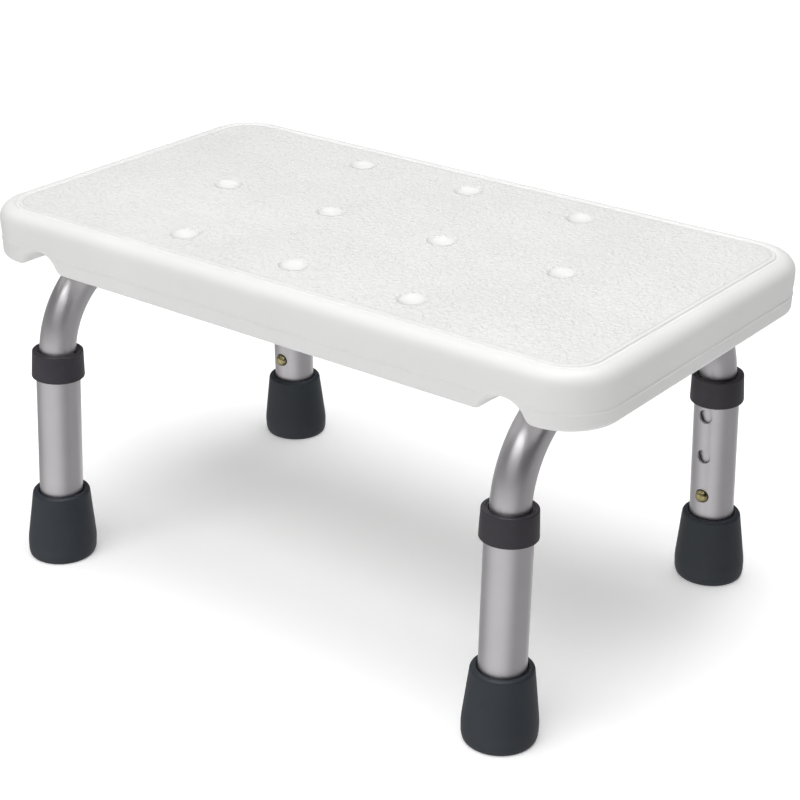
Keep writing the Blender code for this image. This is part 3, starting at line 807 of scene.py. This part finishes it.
def white_plastic():
    """Blow-moulded polyethylene: leathery pebble grain on the panel, fine satin skin elsewhere."""
    n = new_material("moulded_white_plastic")
    where = n.coordinates()
    drift = n.noise(where, 14.0, 2.0)
    colour = n.tint(drift, WHITE, 0.30)
    pebbles = n.cells(where, 500.0, 0.8)
    wrinkle = n.noise(where, 430.0, 2.0, 0.5, 1.2)
    panel = n.attribute("grain")
    grain = n.math("MULTIPLY", n.weighted(wrinkle, (pebbles, 0.6)), panel)
    skin_noise = n.noise(where, 900.0, 3.0)
    waves = n.noise(where, 38.0, 2.0)
    normal = n.bump(waves, 0.0006, 0.35)
    normal = n.bump(skin_noise, 0.00003, 0.5, normal)
    normal = n.bump(grain, 0.0011, 1.0, normal)
    rough = n.weighted(0.36, (drift, 0.10), (panel, 0.08))
    return n.finish(colour, rough, normal, IOR=1.4)


def aluminium():
    """Clear anodised tube. Fine marks round it, from drawing, spread each reflection along the tube."""
    n = new_material("anodised_tube")
    round_it = n.coordinates("UV", (60.0, 5200.0, 1.0))
    lines = n.noise(round_it, 1.0, 2.0)
    where = n.coordinates()
    cloud = n.noise(where, 45.0, 3.0)
    fine = n.noise(where, 1300.0, 3.0)
    colour = n.tint(cloud, ALUMINIUM, 0.25)
    rough = n.weighted(0.30, (cloud, 0.08), (lines, 0.05))
    normal = n.bump(lines, 0.00003, 0.8)
    normal = n.bump(fine, 0.00006, 0.7, normal)
    tangent = n.add("ShaderNodeTangent", direction_type="UV_MAP", uv_map="metres")
    n.link(tangent.outputs["Tangent"], n.shader.inputs["Tangent"])
    return n.finish(colour, rough, normal, Metallic=1.0, Anisotropic=0.5, Anisotropic_Rotation=0.25)


def rubber():
    """Dark blue-grey moulded rubber, a little dusty, with a fine dull skin."""
    n = new_material("tip_rubber")
    where = n.coordinates()
    cloud = n.noise(where, 60.0, 4.0, 0.6)
    fine = n.noise(where, 1300.0, 3.0)
    colour = n.tint(cloud, RUBBER, 0.25)
    rough = n.weighted(0.46, (cloud, 0.16))
    normal = n.bump(fine, 0.00004, 0.7)
    normal = n.bump(n.noise(where, 120.0, 2.0), 0.0003, 0.3, normal)
    return n.finish(colour, rough, normal)


def collar_plastic():
    """Charcoal moulded plastic with a fine matt spark-eroded skin."""
    n = new_material("collar_plastic")
    where = n.coordinates()
    cloud = n.noise(where, 70.0, 3.0)
    fine = n.noise(where, 1600.0, 3.0)
    colour = n.tint(cloud, CHARCOAL, 0.25)
    rough = n.weighted(0.42, (fine, 0.14))
    normal = n.bump(fine, 0.00004, 0.7)
    return n.finish(colour, rough, normal)


def metal(name, colours, roughness):
    """A plain metal with a cloudy tint and light handling marks."""
    n = new_material(name)
    where = n.coordinates()
    cloud = n.noise(where, 260.0, 3.0)
    fine = n.noise(where, 2400.0, 2.0)
    colour = n.tint(cloud, colours, 0.30)
    rough = n.weighted(roughness, (cloud, 0.12))
    normal = n.bump(fine, 0.00002, 0.5)
    return n.finish(colour, rough, normal, Metallic=1.0)


def make_materials():
    return {
        "white": white_plastic(),
        "aluminium": aluminium(),
        "rubber": rubber(),
        "collar": collar_plastic(),
        "brass": metal("button_brass", BRASS, 0.20),
        "steel": metal("plated_steel", STEEL, 0.24),
    }


# ---------------------------------------------------------------- stage

def build_camera():
    data = bpy.data.cameras.new("camera")
    data.lens = CAMERA_LENS
    data.sensor_width = SENSOR
    data.clip_start, data.clip_end = CLIP
    camera = bpy.data.objects.new("camera", data)
    bpy.context.scene.collection.objects.link(camera)
    camera.location = CAMERA_PLACE
    turn = Matrix.Rotation(CAMERA_AZIMUTH, 4, "Z") @ Matrix.Rotation(pi / 2 - CAMERA_ELEVATION, 4, "X")
    camera.rotation_euler = (turn @ Matrix.Rotation(CAMERA_ROLL, 4, "Z")).to_euler()
    bpy.context.scene.camera = camera


def area_light(name, place, target, size, power):
    data = bpy.data.lights.new(name, "AREA")
    data.shape = "RECTANGLE"
    data.size, data.size_y = size
    data.energy = power
    light = bpy.data.objects.new(name, data)
    bpy.context.scene.collection.objects.link(light)
    light.location = place
    light.rotation_euler = (Vector(target) - Vector(place)).to_track_quat("-Z", "Y").to_euler()


def studio_world():
    """The studio round the object. Above, it's light to the camera's left and dark to its right.

    Below the horizon it's what the metal sees in place of the floor: grey, lighter to front and back.
    """
    world = bpy.data.worlds.new("studio")
    n = Nodes(world)
    view = n.add("ShaderNodeTexCoord").outputs["Generated"]

    def towards(direction, turn, start, end):
        dot = n.add("ShaderNodeVectorMath", operation="DOT_PRODUCT")
        dot.inputs[1].default_value = direction
        n.link(view, dot.inputs[0])
        return n.span(dot.outputs["Value"], turn, start, end)

    left = (-cos(CAMERA_AZIMUTH), -sin(CAMERA_AZIMUTH), 0.0)
    above = towards(left, LEFT_SPAN, WORLD_RIGHT, WORLD_LEFT)
    front = towards((0.0, -1.0, 0.0), FRONT_SPAN, BELOW_DIM, BELOW_FRONT)
    back = towards(BACK_WAY, BACK_SPAN, 0.0, BELOW_BACK)
    mix = n.add("ShaderNodeMix")
    n.link(towards((0.0, 0.0, 1.0), HORIZON_SPAN, 0.0, 1.0), mix.inputs["Factor"])
    n.link(n.math("ADD", front, back), mix.inputs["A"])
    n.link(above, mix.inputs["B"])
    background = n.tree.nodes["Background"]
    background.inputs["Color"].default_value = (1.0, 1.0, 1.0, 1.0)
    n.link(mix.outputs["Result"], background.inputs["Strength"])
    bpy.context.scene.world = world


def floor_material():
    """A pale matt floor with a glow that grows away from the object, so its far end stays white."""
    n = new_material("studio_floor")
    where = n.coordinates()
    tone = n.ramp(n.noise(where, 0.8, 2.0), ((0.3, FLOOR_TONES[0]), (0.7, FLOOR_TONES[1])))
    away = n.add("ShaderNodeVectorMath", operation="LENGTH")
    n.link(where, away.inputs[0])
    glow = n.span(away.outputs["Value"], GLOW_SPAN, FLOOR_GLOW, FAR_GLOW)
    n.link(tone, n.shader.inputs["Base Color"])
    n.link(glow, n.shader.inputs["Emission Strength"])
    n.shader.inputs["Roughness"].default_value = 0.9
    n.shader.inputs["Specular IOR Level"].default_value = 0.0
    n.shader.inputs["Emission Color"].default_value = (1.0, 1.0, 1.0, 1.0)
    return n.owner


def build_floor():
    """The floor. Reflections look through it to the world's lower half."""
    reach = FLOOR_REACH
    corners = [(-reach, -reach, 0.0), (reach, -reach, 0.0), (reach, reach, 0.0), (-reach, reach, 0.0)]
    mesh = make_mesh("floor", corners, [(0, 1, 2, 3)])
    mesh.materials.append(floor_material())
    floor = bpy.data.objects.new("floor", mesh)
    bpy.context.scene.collection.objects.link(floor)
    floor.visible_glossy = False


def build_stage():
    build_floor()
    studio_world()
    area_light("front", FRONT_PLACE, FRONT_TARGET, FRONT_SIZE, FRONT_POWER)
    area_light("top", TOP_PLACE, TOP_TARGET, TOP_SIZE, TOP_POWER)
    bpy.context.scene.view_settings.view_transform = "Standard"


def use_material(node, material):
    node.data.materials.clear()
    node.data.materials.append(material)


def finish_hidden_metal(materials):
    """Better metal on the small parts that keep their own shapes: screws, washers, springs, inserts."""
    for name, node in frame["nodes"].items():
        if name.startswith(STEEL_NODES):
            use_material(node, materials["steel"])
        if name.startswith(BRASS_NODES):
            use_material(node, materials["brass"])


materials = make_materials()
build_camera()
build_stage()
add_piece("platform_piece", platform_mesh(), materials["white"], "platform")
build_frames(materials)
build_legs(materials)
finish_hidden_metal(materials)
